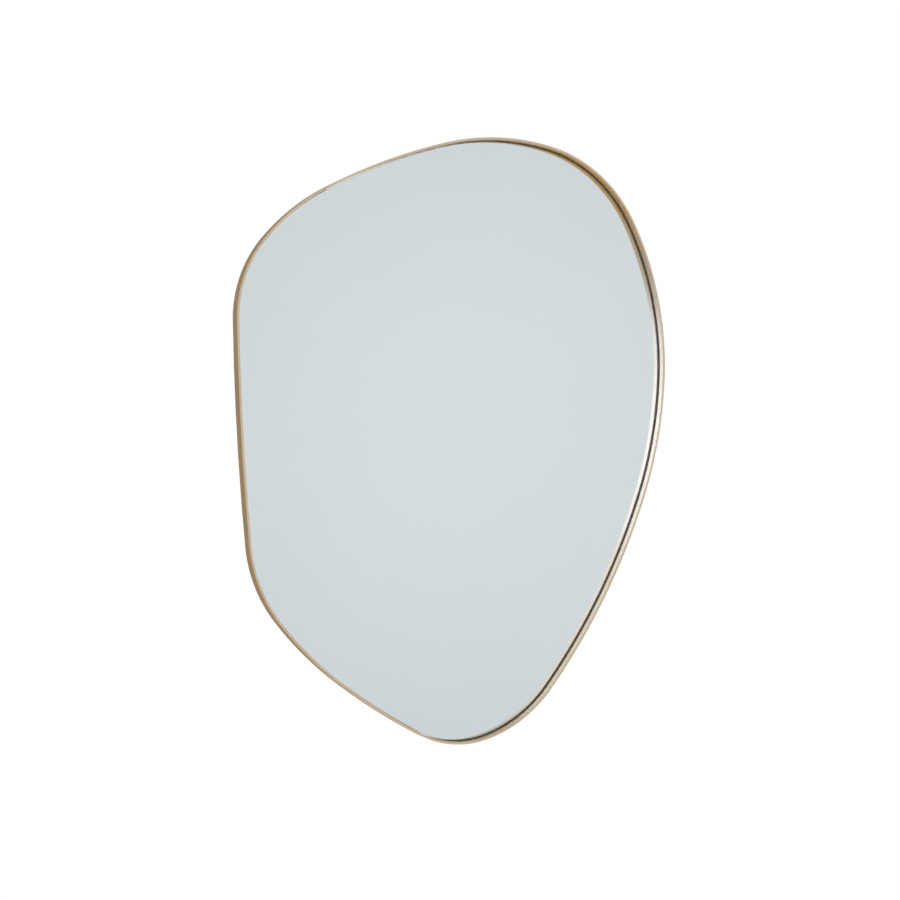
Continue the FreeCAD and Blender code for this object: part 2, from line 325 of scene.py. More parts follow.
def startGroup(name, inputs, outputs):
    group = bpy.data.node_groups.new(name, "ShaderNodeTree")
    for label, kind, value in inputs:
        socket = group.interface.new_socket(name=label, in_out="INPUT", socket_type="NodeSocket" + kind)
        if value is not None:
            socket.default_value = value
    for label in outputs:
        group.interface.new_socket(name=label, in_out="OUTPUT", socket_type="NodeSocketFloat")
    given = group.nodes.new("NodeGroupInput").outputs
    handed = group.nodes.new("NodeGroupOutput").inputs
    return group, given, handed


def useGroup(tree, group, inputs):
    made = tree.nodes.new("ShaderNodeGroup")
    made.node_tree = group
    for name, value in inputs.items():
        setSocket(tree, made.inputs[name], value)
    return made.outputs


def makeDrawnLines():
    # fine lines left by drawing or brushing along X of the vector
    group, given, handed = startGroup("drawnLines", [
        ("Vector", "Vector", None), ("Length", "Float", 0.05), ("Pitch", "Float", 0.0004)],
        ["Tone", "Height"])
    cell = addNode(group, "CombineXYZ", {}, {
        "X": given["Length"], "Y": given["Pitch"], "Z": given["Pitch"]}).outputs["Vector"]
    lined = addNode(group, "VectorMath", {"operation": "DIVIDE"}, {
        0: given["Vector"], 1: cell}).outputs["Vector"]
    coarse = addNoise(group, lined, 0.35, detail=2.0, roughness=0.5)
    fine = addNoise(group, lined, 1.3, detail=4.0, roughness=0.7)
    fineShare = 0.6
    both = addMath(
        group, "MULTIPLY_ADD", fine, fineShare, addMath(group, "MULTIPLY", coarse, 1.0 - fineShare))
    setSocket(group, handed["Tone"], addRamp(group, both, 0.32, 0.68))
    setSocket(group, handed["Height"], both)
    return group


def makeMottle():
    # broad cloudy change of tone with a finer one over it
    group, given, handed = startGroup("mottle", [
        ("Vector", "Vector", None), ("Size", "Float", 0.08)], ["Broad", "Fine"])
    scale = addMath(group, "DIVIDE", 1.0, given["Size"])
    broad = addNoise(group, given["Vector"], scale)
    finer = addMath(group, "MULTIPLY", scale, 9.0)
    fine = addNoise(group, given["Vector"], finer, detail=5.0, roughness=0.65)
    setSocket(group, handed["Broad"], addRamp(group, broad, 0.36, 0.64))
    setSocket(group, handed["Fine"], addRamp(group, fine, 0.34, 0.66))
    return group


def makeGrain():
    # pebbled skin of paint, rubber and foam: rounded cells with a fine tooth
    group, given, handed = startGroup("grain", [
        ("Vector", "Vector", None), ("Size", "Float", 0.001)], ["Tone", "Height"])
    scale = addMath(group, "DIVIDE", 1.0, given["Size"])
    cells = addNode(group, "TexVoronoi", {"feature": "SMOOTH_F1"}, {
        "Vector": given["Vector"], "Scale": scale, "Smoothness": 0.6}).outputs["Distance"]
    finer = addMath(group, "MULTIPLY", scale, 2.6)
    tooth = addNoise(group, given["Vector"], finer, detail=4.0, roughness=0.6)
    sunk = -0.7
    height = addMath(group, "ADD", addMath(group, "MULTIPLY", cells, sunk), tooth)
    setSocket(group, handed["Height"], height)
    setSocket(group, handed["Tone"], addRamp(group, height, -0.25, 0.45))
    return group


def makeEdgeWear():
    # where edges are rubbed: the bevelled normal leaves the true one
    group, given, handed = startGroup("edgeWear", [
        ("Vector", "Vector", None), ("Radius", "Float", 0.0006), ("Size", "Float", 0.004)], ["Mask"])
    soft = addNode(group, "Bevel", {"samples": 6}, {"Radius": given["Radius"]}).outputs["Normal"]
    true = addNode(group, "NewGeometry").outputs["Normal"]
    likeness = addNode(group, "VectorMath", {"operation": "DOT_PRODUCT"}, {0: soft, 1: true})
    edge = addRamp(group, likeness.outputs["Value"], 0.995, 0.90)
    scale = addMath(group, "DIVIDE", 1.0, given["Size"])
    broken = addRamp(group, addNoise(group, given["Vector"], scale, roughness=0.6), 0.40, 0.62)
    setSocket(group, handed["Mask"], addMath(group, "MULTIPLY", edge, broken))
    return group


def makeDust():
    # thin dust that settles on what faces up, with specks everywhere
    group, given, handed = startGroup("dust", [
        ("Vector", "Vector", None), ("Size", "Float", 0.03), ("Specks", "Float", 0.3)], ["Mask"])
    normal = addNode(group, "NewGeometry").outputs["Normal"]
    up = addNode(group, "SeparateXYZ", {}, {"Vector": normal}).outputs["Z"]
    scale = addMath(group, "DIVIDE", 1.0, given["Size"])
    film = addNoise(group, given["Vector"], scale, detail=5.0, roughness=0.7)
    film = addRamp(group, film, 0.25, 0.75, toLow=0.35)
    settled = addMath(group, "MULTIPLY", addRamp(group, up, 0.15, 0.95), film)
    finer = addMath(group, "MULTIPLY", scale, 12.0)
    speck = addNode(group, "TexVoronoi", {}, {"Vector": given["Vector"], "Scale": finer})
    speck = addRamp(group, speck.outputs["Distance"], 0.14, 0.05)
    sparse = addMath(group, "MULTIPLY", speck, given["Specks"])
    setSocket(group, handed["Mask"], addMath(group, "MAXIMUM", settled, sparse))
    return group


drawnLines = makeDrawnLines()
mottle = makeMottle()
grain = makeGrain()
edgeWear = makeEdgeWear()
dust = makeDust()


# Materials: a base tone with layers over it, then its gloss and its bump.
def startMaterial(name, values):
    material = bpy.data.materials.new(name)
    material.use_nodes = True
    tree = material.node_tree
    shader = tree.nodes["Principled BSDF"]
    for label, value in values.items():
        setSocket(tree, shader.inputs[label], value)
    return material, tree, shader.inputs


def objectPlace(tree):
    return addNode(tree, "TexCoord").outputs["Object"]


def addBump(tree, height, depth):
    bump = addNode(tree, "Bump", {}, {"Height": height, "Distance": depth, "Strength": 1.0})
    return bump.outputs["Normal"]


brass = {
    "pale": (0.785, 0.640, 0.470),
    "deep": (0.735, 0.590, 0.420),
    "rubbed": (0.84, 0.72, 0.56),
    "dulled": (0.60, 0.47, 0.32),
    "dust": (0.55, 0.52, 0.47),
}


def makeSatinBrass():
    # the hoop: drawn along the bar, then satin lacquered
    material, tree, shader = startMaterial("satinBrass", {"Metallic": 1.0})
    place = objectPlace(tree)
    barMap = addNode(tree, "UVMap", {"uv_map": "alongBar"}).outputs["UV"]
    lines = useGroup(tree, drawnLines, {"Vector": barMap, "Length": 0.045, "Pitch": 0.0005})
    cloud = useGroup(tree, mottle, {"Vector": place, "Size": 0.11})
    rubbed = useGroup(tree, edgeWear, {"Vector": place, "Radius": 0.0007, "Size": 0.006})["Mask"]
    dusty = useGroup(tree, dust, {"Vector": place, "Size": 0.025, "Specks": 0.15})["Mask"]
    tone = mixColour(tree, cloud["Broad"], brass["deep"], brass["pale"])
    tone = addLayer(tree, tone, lines["Tone"], brass["pale"], share=0.35)
    tone = addLayer(tree, tone, rubbed, brass["rubbed"], share=0.25)
    tone = addLayer(tree, tone, dusty, brass["dust"], share=0.06)
    setSocket(tree, shader["Base Color"], tone)
    satin = spread(tree, cloud["Fine"], low=0.25, high=0.29)
    satin = addMath(tree, "MULTIPLY_ADD", lines["Tone"], 0.07, satin)
    setSocket(tree, shader["Roughness"], addMath(tree, "MULTIPLY_ADD", dusty, 0.10, satin))
    setSocket(tree, shader["Normal"], addBump(tree, lines["Height"], depth=0.0012 * mm))
    return material


def makeWeldedBrass():
    # lugs, plates and welds: the same finish over sheared and welded metal, less even
    material, tree, shader = startMaterial("weldedBrass", {"Metallic": 1.0})
    place = objectPlace(tree)
    lines = useGroup(tree, drawnLines, {"Vector": place, "Length": 0.012, "Pitch": 0.0006})
    cloud = useGroup(tree, mottle, {"Vector": place, "Size": 0.018})
    skin = useGroup(tree, grain, {"Vector": place, "Size": 0.0009})
    rubbed = useGroup(tree, edgeWear, {"Vector": place, "Radius": 0.0006, "Size": 0.003})["Mask"]
    dusty = useGroup(tree, dust, {"Vector": place, "Size": 0.02, "Specks": 0.25})["Mask"]
    tone = mixColour(tree, cloud["Broad"], brass["dulled"], brass["deep"])
    tone = addLayer(tree, tone, cloud["Fine"], brass["pale"], share=0.5)
    tone = addLayer(tree, tone, rubbed, brass["rubbed"], share=0.7)
    tone = addLayer(tree, tone, dusty, brass["dust"], share=0.25)
    setSocket(tree, shader["Base Color"], tone)
    satin = spread(tree, cloud["Broad"], low=0.42, high=0.32)
    satin = addMath(tree, "MULTIPLY_ADD", lines["Tone"], 0.10, satin)
    setSocket(tree, shader["Roughness"], addMath(tree, "MULTIPLY_ADD", dusty, 0.20, satin))
    height = addMath(tree, "ADD", lines["Height"], skin["Height"])
    setSocket(tree, shader["Normal"], addBump(tree, height, depth=0.03 * mm))
    return material


glass = {
    "index": 1.52,
    "clear": ((0.942, 0.966, 0.977), (0.948, 0.969, 0.978)),
    "ground": ((0.36, 0.34, 0.30), (0.44, 0.42, 0.38)),
    "groundLines": (0.50, 0.48, 0.44),
    "silver": ((0.846, 0.902, 0.918), (0.854, 0.908, 0.922)),
}


def makeClearGlass():
    # polished float glass, with wiping marks that only show close by
    material, tree, shader = startMaterial(
        "clearGlass", {"Transmission Weight": 1.0, "IOR": glass["index"]})
    place = objectPlace(tree)
    wiped = useGroup(tree, mottle, {"Vector": place, "Size": 0.16})
    specks = useGroup(tree, dust, {"Vector": place, "Size": 0.05, "Specks": 1.0})["Mask"]
    setSocket(tree, shader["Base Color"], mixColour(tree, wiped["Broad"], *glass["clear"]))
    marks = addMath(tree, "MULTIPLY", addMath(tree, "MULTIPLY", wiped["Broad"], wiped["Fine"]), 0.012)
    setSocket(tree, shader["Roughness"], addMath(tree, "MULTIPLY_ADD", specks, 0.02, marks))
    return material


def makeGroundEdge():
    # the pane's edge, left matt and grey by the grinding wheel
    material, tree, shader = startMaterial("groundEdge", {"IOR": glass["index"]})
    place = objectPlace(tree)
    lines = useGroup(tree, drawnLines, {"Vector": place, "Length": 0.004, "Pitch": 0.0003})
    cloud = useGroup(tree, mottle, {"Vector": place, "Size": 0.02})
    tone = mixColour(tree, cloud["Broad"], *glass["ground"])
    tone = addLayer(tree, tone, lines["Tone"], glass["groundLines"], share=0.3)
    setSocket(tree, shader["Base Color"], tone)
    setSocket(tree, shader["Roughness"], spread(tree, lines["Tone"], low=0.48, high=0.68))
    setSocket(tree, shader["Normal"], addBump(tree, lines["Height"], depth=0.04 * mm))
    return material


def makeSilverBack():
    # the silvering behind the glass
    material, tree, shader = startMaterial("silverBack", {"Metallic": 1.0, "Roughness": 0.0})
    cloud = useGroup(tree, mottle, {"Vector": objectPlace(tree), "Size": 0.22})
    setSocket(tree, shader["Base Color"], mixColour(tree, cloud["Broad"], *glass["silver"]))
    return material


boardFilm = {
    "base": ((0.026, 0.026, 0.027), (0.042, 0.041, 0.040)),
    "skin": (0.060, 0.059, 0.057),
    "scuffed": (0.11, 0.105, 0.10),
    "rubbed": (0.16, 0.115, 0.075),
    "dust": (0.30, 0.28, 0.25),
}


def makeBlackBoard():
    # fibreboard faced with matt black film, a little scuffed and dusty
    material, tree, shader = startMaterial("blackBoard", {"Specular IOR Level": 0.4})
    place = objectPlace(tree)
    skin = useGroup(tree, grain, {"Vector": place, "Size": 0.0016})
    cloud = useGroup(tree, mottle, {"Vector": place, "Size": 0.13})
    scuffs = useGroup(tree, drawnLines, {"Vector": place, "Length": 0.09, "Pitch": 0.0014})
    rubbed = useGroup(tree, edgeWear, {"Vector": place, "Radius": 0.0008, "Size": 0.008})["Mask"]
    dusty = useGroup(tree, dust, {"Vector": place, "Size": 0.04, "Specks": 0.5})["Mask"]
    scuffed = addMath(tree, "MULTIPLY", addRamp(tree, scuffs["Tone"], 0.82, 1.0), cloud["Fine"])
    tone = mixColour(tree, cloud["Broad"], *boardFilm["base"])
    tone = addLayer(tree, tone, skin["Tone"], boardFilm["skin"], share=0.35)
    tone = addLayer(tree, tone, scuffed, boardFilm["scuffed"], share=0.30)
    tone = addLayer(tree, tone, rubbed, boardFilm["rubbed"], share=0.6)
    tone = addLayer(tree, tone, dusty, boardFilm["dust"], share=0.35)
    setSocket(tree, shader["Base Color"], tone)
    setSocket(tree, shader["Roughness"], spread(tree, cloud["Fine"], low=0.52, high=0.66))
    setSocket(tree, shader["Normal"], addBump(tree, skin["Height"], depth=0.09 * mm))
    return material


zinc = {
    "plate": ((0.57, 0.60, 0.65), (0.68, 0.66, 0.60)),
    "cloud": (0.50, 0.51, 0.53),
    "rubbed": (0.80, 0.80, 0.79),
    "dust": (0.42, 0.40, 0.37),
}


def makeZincSteel(name, along, polish, lineLength):
    # bright zinc plate, which passes from blue to straw; the lines lie along one axis
    material, tree, shader = startMaterial(name, {"Metallic": 1.0})
    place = objectPlace(tree)
    turned = addNode(tree, "Mapping", {}, {"Vector": place, "Rotation": along}).outputs["Vector"]
    lines = useGroup(tree, drawnLines, {"Vector": turned, "Length": lineLength, "Pitch": 0.00035})
    cloud = useGroup(tree, mottle, {"Vector": place, "Size": 0.009})
    rubbed = useGroup(tree, edgeWear, {"Vector": place, "Radius": 0.0004, "Size": 0.002})["Mask"]
    dusty = useGroup(tree, dust, {"Vector": place, "Size": 0.012, "Specks": 0.2})["Mask"]
    tone = mixColour(tree, cloud["Broad"], *zinc["plate"])
    tone = addLayer(tree, tone, cloud["Fine"], zinc["cloud"], share=0.35)
    tone = addLayer(tree, tone, rubbed, zinc["rubbed"], share=0.6)
    tone = addLayer(tree, tone, dusty, zinc["dust"], share=0.25)
    setSocket(tree, shader["Base Color"], tone)
    satin = spread(tree, cloud["Broad"], low=polish, high=polish + 0.08)
    setSocket(tree, shader["Roughness"], addMath(tree, "MULTIPLY_ADD", lines["Tone"], 0.14, satin))
    setSocket(tree, shader["Normal"], addBump(tree, lines["Height"], depth=0.015 * mm))
    return material


foam = {"base": ((0.74, 0.73, 0.70), (0.80, 0.80, 0.78)), "cells": (0.66, 0.65, 0.62)}


def makeFoam():
    # white closed-cell foam tape
    material, tree, shader = startMaterial("foamTape", {"Specular IOR Level": 0.3})
    place = objectPlace(tree)
    cells = useGroup(tree, grain, {"Vector": place, "Size": 0.0005})
    cloud = useGroup(tree, mottle, {"Vector": place, "Size": 0.05})
    tone = mixColour(tree, cloud["Broad"], *foam["base"])
    setSocket(tree, shader["Base Color"], addLayer(tree, tone, cells["Tone"], foam["cells"], share=0.5))
    setSocket(tree, shader["Roughness"], spread(tree, cells["Tone"], low=0.82, high=0.95))
    setSocket(tree, shader["Normal"], addBump(tree, cells["Height"], depth=0.12 * mm))
    return material


rubber = {
    "base": ((0.035, 0.035, 0.036), (0.060, 0.059, 0.058)),
    "rubbed": (0.13, 0.125, 0.12),
    "dust": (0.26, 0.25, 0.23),
}


def makeRubber():
    # moulded black rubber with a grey bloom
    material, tree, shader = startMaterial("bumperRubber", {"Specular IOR Level": 0.35})
    place = objectPlace(tree)
    skin = useGroup(tree, grain, {"Vector": place, "Size": 0.0005})
    bloom = useGroup(tree, mottle, {"Vector": place, "Size": 0.012})
    rubbed = useGroup(tree, edgeWear, {"Vector": place, "Radius": 0.0008, "Size": 0.003})["Mask"]
    dusty = useGroup(tree, dust, {"Vector": place, "Size": 0.01, "Specks": 0.5})["Mask"]
    tone = mixColour(tree, bloom["Broad"], *rubber["base"])
    tone = addLayer(tree, tone, rubbed, rubber["rubbed"], share=0.5)
    tone = addLayer(tree, tone, dusty, rubber["dust"], share=0.4)
    setSocket(tree, shader["Base Color"], tone)
    setSocket(tree, shader["Roughness"], spread(tree, skin["Tone"], low=0.66, high=0.82))
    setSocket(tree, shader["Normal"], addBump(tree, skin["Height"], depth=0.06 * mm))
    return material


satinBrass = makeSatinBrass()
weldedBrass = makeWeldedBrass()
clearGlass = makeClearGlass()
groundEdge = makeGroundEdge()
silverBack = makeSilverBack()
blackBoard = makeBlackBoard()
zincStrip = makeZincSteel("zincStrip", (0.0, math.radians(90.0), 0.0), polish=0.30, lineLength=0.010)
zincWire = makeZincSteel("zincWire", (0.0, 0.0, 0.0), polish=0.20, lineLength=0.003)
zincScrew = makeZincSteel("zincScrew", (0.0, 0.0, 0.0), polish=0.26, lineLength=0.0012)
foamTape = makeFoam()
bumperRubber = makeRubber()
print("finishes mixed")


# The hoop of flat bar on edge, its arrises rounded by the drawing
hoop = {"thick": 4.0 * mm, "edgeRound": 0.5 * mm, "roundSteps": 4}


def makeHoop():
    bm = bmesh.new()
    verts = startSection(bm, [
        (0.0, rearY), (0.0, frontY), (hoop["thick"], frontY), (hoop["thick"], rearY)])
    section, around = closeSection(bm, verts, hoop["edgeRound"], hoop["roundSteps"])
    length = rollRound(bm, section)
    layBarMap(bm, length, around)
    bmesh.ops.recalc_face_normals(bm, faces=bm.faces)
    newPiece("hoop", bm, "root", ["frame_band"], [satinBrass])


makeHoop()
print("hoop rolled")


# The pane: float glass with ground edges, silvered on its back
pane = {"inset": 5.0 * mm, "arris": 0.5 * mm}


def makePlate(inset, eased, near, far):
    # a sheet cut to the outline, open on both faces until they are filled
    bm = bmesh.new()
    verts = startSection(bm, [
        (inset + eased, near), (inset, near + eased), (inset, far - eased), (inset + eased, far)])
    edges = [bm.edges.new(pair) for pair in zip(verts, verts[1:])]
    rollRound(bm, verts + edges)
    for face in bm.faces:
        face.material_index = 1
    rim = [edge for edge in bm.edges if edge.is_boundary]
    lids = bmesh.ops.holes_fill(bm, edges=rim, sides=0)["faces"]
    for face in lids:
        face.material_index = 0 if face.calc_center_median().y < (near + far) / 2 else 2
    bmesh.ops.recalc_face_normals(bm, faces=bm.faces)
    return bm


def makePane():
    bm = makePlate(pane["inset"], pane["arris"], paneLow.y, paneHigh.y)
    newPiece(
        "pane", bm, "root", ["mirror_glass"], [clearGlass, groundEdge, silverBack],
        sharpAngle=30.0)


makePane()
print("pane cut, ground and silvered")


# The board that carries the pane, and the foam tape between them
board = {"inset": 5.0 * mm, "eased": 0.3 * mm}
tape = {
    "count": 5, "clear": 0.05 * mm, "edgeRound": 0.25 * mm, "bulge": 0.4 * mm, "cuts": 60,
    "waves": (61.0, 23.0), "cornerOver": 60.0}


def makeBoard():
    bm = makePlate(board["inset"], board["eased"], boardLow.y, boardHigh.y)
    newPiece("board", bm, "root", ["backing_board"], [blackBoard] * 3)


def makeTape(number):
    # pressed foam: the long sides swell and waver where the squeeze isn't even
    node = "tape_strip_" + str(number)
    low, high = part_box(node)
    size = high - low
    size.y -= tape["clear"]
    middle = (low + high) / 2 + Vector((0.0, tape["clear"] / 2, 0.0))
    bm = bmesh.new()
    bmesh.ops.create_cube(bm, size=1.0)
    bmesh.ops.scale(bm, vec=size, verts=bm.verts)
    upright = [edge for edge in bm.edges if abs(edge.verts[0].co.z - edge.verts[1].co.z) > size.z / 2]
    bmesh.ops.subdivide_edges(bm, edges=upright, cuts=tape["cuts"], use_grid_fill=True)
    short, long = tape["waves"]
    for vert in bm.verts:
        waver = math.sin(vert.co.z * short + number) * math.sin(vert.co.z * long + 2.0 * number)
        vert.co.x *= 1.0 - tape["bulge"] * (1.0 + waver) / size.x
    corners = [
        edge for edge in bm.edges if edge.calc_face_angle(0.0) > math.radians(tape["cornerOver"])]
    bmesh.ops.bevel(
        bm, geom=corners, affect="EDGES", offset=tape["edgeRound"], segments=2, profile=0.5, material=-1)
    bmesh.ops.translate(bm, vec=middle, verts=bm.verts)
    bmesh.ops.recalc_face_normals(bm, faces=bm.faces)
    newPiece("foamTape" + str(number), bm, "root", [node], [foamTape])


makeBoard()
for tapeNumber in range(1, tape["count"] + 1):
    makeTape(tapeNumber)
print("board and tape laid")


# Lugs and hanger plates, with the edges of their blanks taken off
plates = {
    "softened": 0.35 * mm,
    "screwTurn": 37.0,
    "lugs": {
        "lug_upper_right": 36.0, "lug_top": 90.0, "lug_upper_left": 121.0, "lug_left": 184.3,
        "lug_lower_left": 227.0, "lug_bottom": 273.0, "lug_lower_right": 323.0, "lug_right": 339.0},
    "screwInset": 17.0 * mm,
}
weld = {
    "length": 7.5 * mm,
    "width": 3.4 * mm,
    "rise": 0.7 * mm,
    "ripple": 0.16,
    "ripples": 5,
    "steps": 30,
    "sides": 12,
    "endSwell": 0.04,
    "lean": 0.5 * mm,
    "sunk": 0.1 * mm,
    "lugSpread": 8.0 * mm,
    "plateShares": (0.12, 0.5, 0.88),
    "plateSides": ((140.0, 220.0), (-38.0, 50.0)),
    "sharpAngle": 60.0,
}


def makeBead():
    # one tack of weld metal along X, half sunk in the joint, with the ripples of its pool
    bm = bmesh.new()
    bmesh.ops.create_circle(
        bm, segments=weld["sides"], radius=1.0, matrix=Matrix.Rotation(math.radians(90.0), 4, "Y"))
    bmesh.ops.translate(bm, vec=(-weld["length"] / 2, 0.0, 0.0), verts=bm.verts)
    bmesh.ops.spin(
        bm, geom=list(bm.verts) + list(bm.edges), cent=(0.0, 0.0, 0.0), axis=(1.0, 0.0, 0.0),
        angle=0.0, dvec=(weld["length"] / weld["steps"], 0.0, 0.0), steps=weld["steps"])
    for vert in bm.verts:
        share = 2.0 * vert.co.x / weld["length"]
        swell = max(weld["endSwell"], 1.0 - share ** 4) ** 0.5
        ripple = 1.0 + weld["ripple"] * math.sin(math.pi * weld["ripples"] * share)
        vert.co.x += weld["lean"] * (1.0 - abs(vert.co.z))
        vert.co.y *= weld["rise"] * swell * ripple
        vert.co.z *= weld["width"] / 2 * swell
    bmesh.ops.holes_fill(bm, edges=[edge for edge in bm.edges if edge.is_boundary], sides=0)
    bmesh.ops.recalc_face_normals(bm, faces=bm.faces)
    return bm


def beadPlace(way):
    # on the joint between the hoop's inner wall and what is welded to it, flush with the rear edge
    spot = edgePoint(arcs, way, hoop["thick"])
    spot.y = rearY - weld["sunk"]
    return Matrix.Translation(spot) @ Matrix.Rotation(math.radians(90.0 - way), 4, "Y")


def wayAtHeight(z, lowWay, highWay):
    # the direction between these two in which the outline faces at this height
    rising = edgePoint(arcs, highWay).z > edgePoint(arcs, lowWay).z
    for halving in range(24):
        middle = (lowWay + highWay) / 2
        if (edgePoint(arcs, middle).z < z) == rising:
            lowWay = middle
        else:
            highWay = middle
    return middle


def makeWelds():
    places = []
    for way in plates["lugs"].values():
        for side in (-1.0, 1.0):
            along = Matrix.Translation((side * weld["lugSpread"], 0.0, 0.0))
            places.append(beadPlace(way) @ along)
    low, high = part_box("hanger_plate_left")
    for share in weld["plateShares"]:
        z = low.z + share * (high.z - low.z)
        for lowWay, highWay in weld["plateSides"]:
            places.append(beadPlace(wayAtHeight(z, lowWay, highWay)))
    bm = bmesh.new()
    addCopies(bm, makeBead(), places)
    newPiece("welds", bm, "root", [], [weldedBrass], weld["sharpAngle"])


for lugName in plates["lugs"]:
    softenNode(lugName + "_cut", lugName, "root", weldedBrass, plates["softened"])
for sideName in ("left", "right"):
    plateName = "hanger_plate_" + sideName
    softenNode(plateName + "_cut", plateName, "root", weldedBrass, plates["softened"])
makeWelds()
print("lugs and hanger plates welded in")


# Pan-head screws with a cross recess
lugScrew = {"shank": 3.5 * mm, "length": 5.0 * mm, "head": 7.0 * mm, "rise": 2.2 * mm}
hangerScrew = {"shank": 4.0 * mm, "length": 6.0 * mm, "head": 7.6 * mm, "rise": 2.4 * mm}
screwForm = {
    "tip": 0.8 * mm, "seat": 0.94, "rimLow": 0.08, "rimHigh": 0.34, "crown": 0.64, "domeSteps": 7,
    "sides": 32}
recess = {"span": 0.56, "wing": 0.13, "depth": 0.66, "taper": 0.5}


def makeScrew(size):
    # its seat is at y = 0 and its head rises towards the wall
    radius = size["head"] / 2
    rise = size["rise"]
    shank = size["shank"] / 2
    tip = screwForm["tip"]
    dome = radius * (1.0 - screwForm["crown"])
    rim = screwForm["rimHigh"] * rise
    bm = bmesh.new()
    profile = [(0.0, -size["length"]), (shank - tip / 2, -size["length"]), (shank, tip - size["length"])]
    profile += [(shank, 0.0), (screwForm["seat"] * radius, 0.0)]
    profile += [(radius, screwForm["rimLow"] * rise), (radius, rim)]
    for step in range(1, screwForm["domeSteps"] + 1):
        turn = math.radians(90.0 * step / screwForm["domeSteps"])
        profile.append((radius - dome * (1.0 - math.cos(turn)), rim + (rise - rim) * math.sin(turn)))
    turnProfile(bm, profile, screwForm["sides"])
    cross = []
    for quarter in range(4):
        turn = Matrix.Rotation(math.radians(90.0 * quarter), 3, "Y")
        wing = recess["wing"] * radius
        span = recess["span"] * radius
        for x, z in ((wing, wing), (span, wing), (span, -wing)):
            cross.append(bm.verts.new(turn @ Vector((x, rise, z))))
    outer = bm.faces.new(cross)
    sunk = bmesh.ops.extrude_face_region(bm, geom=[outer])["geom"]
    floorVerts = [item for item in sunk if isinstance(item, bmesh.types.BMVert)]
    if outer.is_valid:
        bmesh.ops.delete(bm, geom=[outer], context="FACES_ONLY")
    bmesh.ops.scale(bm, vec=(recess["taper"], 1.0, recess["taper"]), verts=floorVerts)
    bmesh.ops.translate(bm, vec=(0.0, -recess["depth"] * rise, 0.0), verts=floorVerts)
    mouth = [edge for edge in bm.edges if edge.is_boundary]
    bmesh.ops.triangle_fill(bm, use_beauty=True, edges=mouth, normal=(0.0, 1.0, 0.0))
    bmesh.ops.recalc_face_normals(bm, faces=bm.faces)
    return bm


def screwPlace(x, seatY, z, turned):
    return Matrix.Translation((x, seatY, z)) @ Matrix.Rotation(math.radians(turned), 4, "Y")


def makeLugScrews():
    # every screw stops at its own angle
    places = []
    for number, way in enumerate(plates["lugs"].values()):
        spot = edgePoint(arcs, way, plates["screwInset"])
        places.append(screwPlace(spot.x, rearY, spot.z, plates["screwTurn"] * number))
    bm = bmesh.new()
    addCopies(bm, makeScrew(lugScrew), places)
    newPiece("lugScrews", bm, "root", ["lug_screws"], [zincScrew])


makeLugScrews()
print("lug screws driven")


# D rings on their straps. The strap's leaves lie 2.1 mm proud of the plate.
hanger = {
    "spacing": 760.0 * mm, "hingeY": -3.92 * mm, "hingeZ": -17.5 * mm, "leaves": 2.1 * mm,
    "holeFirst": 27.0 * mm, "holePitch": 14.0 * mm,
    "screwTurn": 25.0, "turnByRow": 50.0, "turnBySide": 80.0}
ring = {
    "wire": 3.0 * mm, "sides": 24, "inner": 22.0 * mm, "reach": 19.0 * mm, "corner": 3.0 * mm,
    "rise": 1.22 * mm, "bendSteps": 8, "bowSteps": 36}


def makeHangerScrews():
    places = []
    for side in (-0.5, 0.5):
        for row in range(2):
            z = hanger["hingeZ"] - hanger["holeFirst"] - row * hanger["holePitch"]
            x = side * hanger["spacing"]
            turned = hanger["screwTurn"] + hanger["turnByRow"] * row + hanger["turnBySide"] * side
            places.append(screwPlace(x, rearY + hanger["leaves"], z, turned))
    bm = bmesh.new()
    addCopies(bm, makeScrew(hangerScrew), places)
    newPiece("hangerScrews", bm, "root", ["hanger_screws"], [zincScrew])


def runWire(bm, section, way):
    return bmesh.ops.spin(
        bm, geom=section, cent=(0.0, 0.0, 0.0), axis=(0.0, 1.0, 0.0), angle=0.0, dvec=way,
        steps=1)["geom_last"]


def bendWire(bm, section, centre, degrees, steps):
    return bmesh.ops.spin(
        bm, geom=section, cent=centre, axis=(0.0, 1.0, 0.0), angle=math.radians(degrees),
        steps=steps)["geom_last"]


def makeRing(sideName, x):
    # wire bent in the XZ plane with its straight bar on the hinge, then lifted off the strap
    half = (ring["inner"] + ring["wire"]) / 2
    corner = ring["corner"]
    straight = half - corner
    bowZ = half - ring["reach"]
    bm = bmesh.new()
    bmesh.ops.create_circle(
        bm, segments=ring["sides"], radius=ring["wire"] / 2,
        matrix=Matrix.Translation((-straight, 0.0, 0.0)) @ Matrix.Rotation(math.radians(90.0), 4, "Y"))
    wire = list(bm.verts) + list(bm.edges)
    wire = runWire(bm, wire, (2.0 * straight, 0.0, 0.0))
    wire = bendWire(bm, wire, (straight, 0.0, -corner), 90.0, ring["bendSteps"])
    wire = runWire(bm, wire, (0.0, 0.0, bowZ + corner))
    wire = bendWire(bm, wire, (0.0, 0.0, bowZ), 180.0, ring["bowSteps"])
    wire = runWire(bm, wire, (0.0, 0.0, -bowZ - corner))
    bendWire(bm, wire, (-straight, 0.0, -corner), 90.0, ring["bendSteps"])
    bmesh.ops.remove_doubles(bm, verts=bm.verts, dist=joined["wire"])
    bmesh.ops.recalc_face_normals(bm, faces=bm.faces)
    lift = Matrix.Rotation(math.asin(ring["rise"] / ring["reach"]), 4, "X")
    bmesh.ops.transform(
        bm, matrix=Matrix.Translation((x, hanger["hingeY"], hanger["hingeZ"])) @ lift, verts=bm.verts)
    newPiece(
        "ring_" + sideName + "_wire", bm, "ring_" + sideName, ["hanger_ring_" + sideName],
        [zincWire])


def refinish(node, material):
    # a node whose shape is right, in a better finish
    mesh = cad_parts[node].data
    mesh.materials.clear()
    mesh.materials.append(material)


